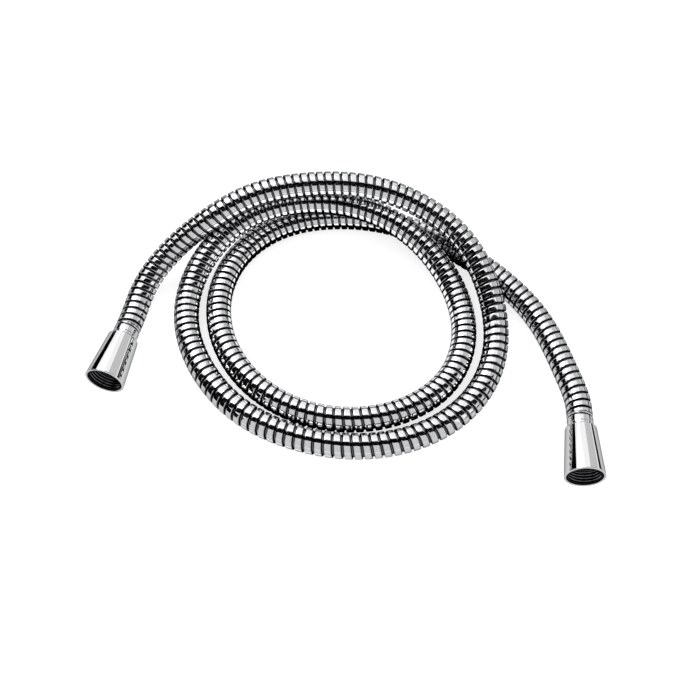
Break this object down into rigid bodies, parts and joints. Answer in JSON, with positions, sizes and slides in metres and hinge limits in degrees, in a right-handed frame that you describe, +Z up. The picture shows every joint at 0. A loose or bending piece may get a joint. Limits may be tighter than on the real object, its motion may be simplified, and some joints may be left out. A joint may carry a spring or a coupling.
{
  "type": "metal shower hose",
  "caption": "Flexible strip-wound metal shower hose lying in loose turns, with a conical swivelling union nut and rubber washer at each end.",
  "frame": {"origin": "bottom centre of the whole hose as it lies on the floor", "axes": "+Z up from the floor, +X along the longest extent from the left nut towards the right nut, -Y towards the side that both nut mouths face"},
  "size_m": [0.3032, 0.1929, 0.0475],
  "materials": {
    "chromed_brass": "mirror-polished chrome plating",
    "polished_steel": "polished wound strip with narrow dark grooves",
    "brass": "plain turned brass",
    "rubber": "matt black",
    "white_plastic": "plain moulded"
  },
  "bodies": {
    "hose": {"metal_casing": "polished_steel", "inner_liner": "rubber", "left_ferrule": "polished_steel", "left_nipple": "brass", "left_sealing_washer": "rubber", "right_ferrule": "polished_steel", "right_nipple": "brass", "right_sealing_washer": "rubber"},
    "left_ring": {"left_thrust_ring": "white_plastic"},
    "left_nut": {"left_union_nut": "chromed_brass"},
    "right_ring": {"right_thrust_ring": "white_plastic"},
    "right_nut": {"right_union_nut": "chromed_brass"}
  },
  "joints": [
    {"name": "left_nut_slide", "type": "slide", "parent": "hose", "child": "left_ring", "axis": [0.2545, 0.9633, -0.0854], "range_m": [0, 0.007]},
    {"name": "left_nut_spin", "type": "hinge", "parent": "left_ring", "child": "left_nut", "pos_m": [-0.1402, -0.0343, 0.01196], "axis": [-0.2545, -0.9633, 0.0854], "continuous": true},
    {"name": "right_nut_slide", "type": "slide", "parent": "hose", "child": "right_ring", "axis": [0.0296, 0.9959, -0.0854], "range_m": [0, 0.007]},
    {"name": "right_nut_spin", "type": "hinge", "parent": "right_ring", "child": "right_nut", "pos_m": [0.1396, -0.0954, 0.01196], "axis": [-0.0296, -0.9959, 0.0854], "continuous": true}
  ]
}
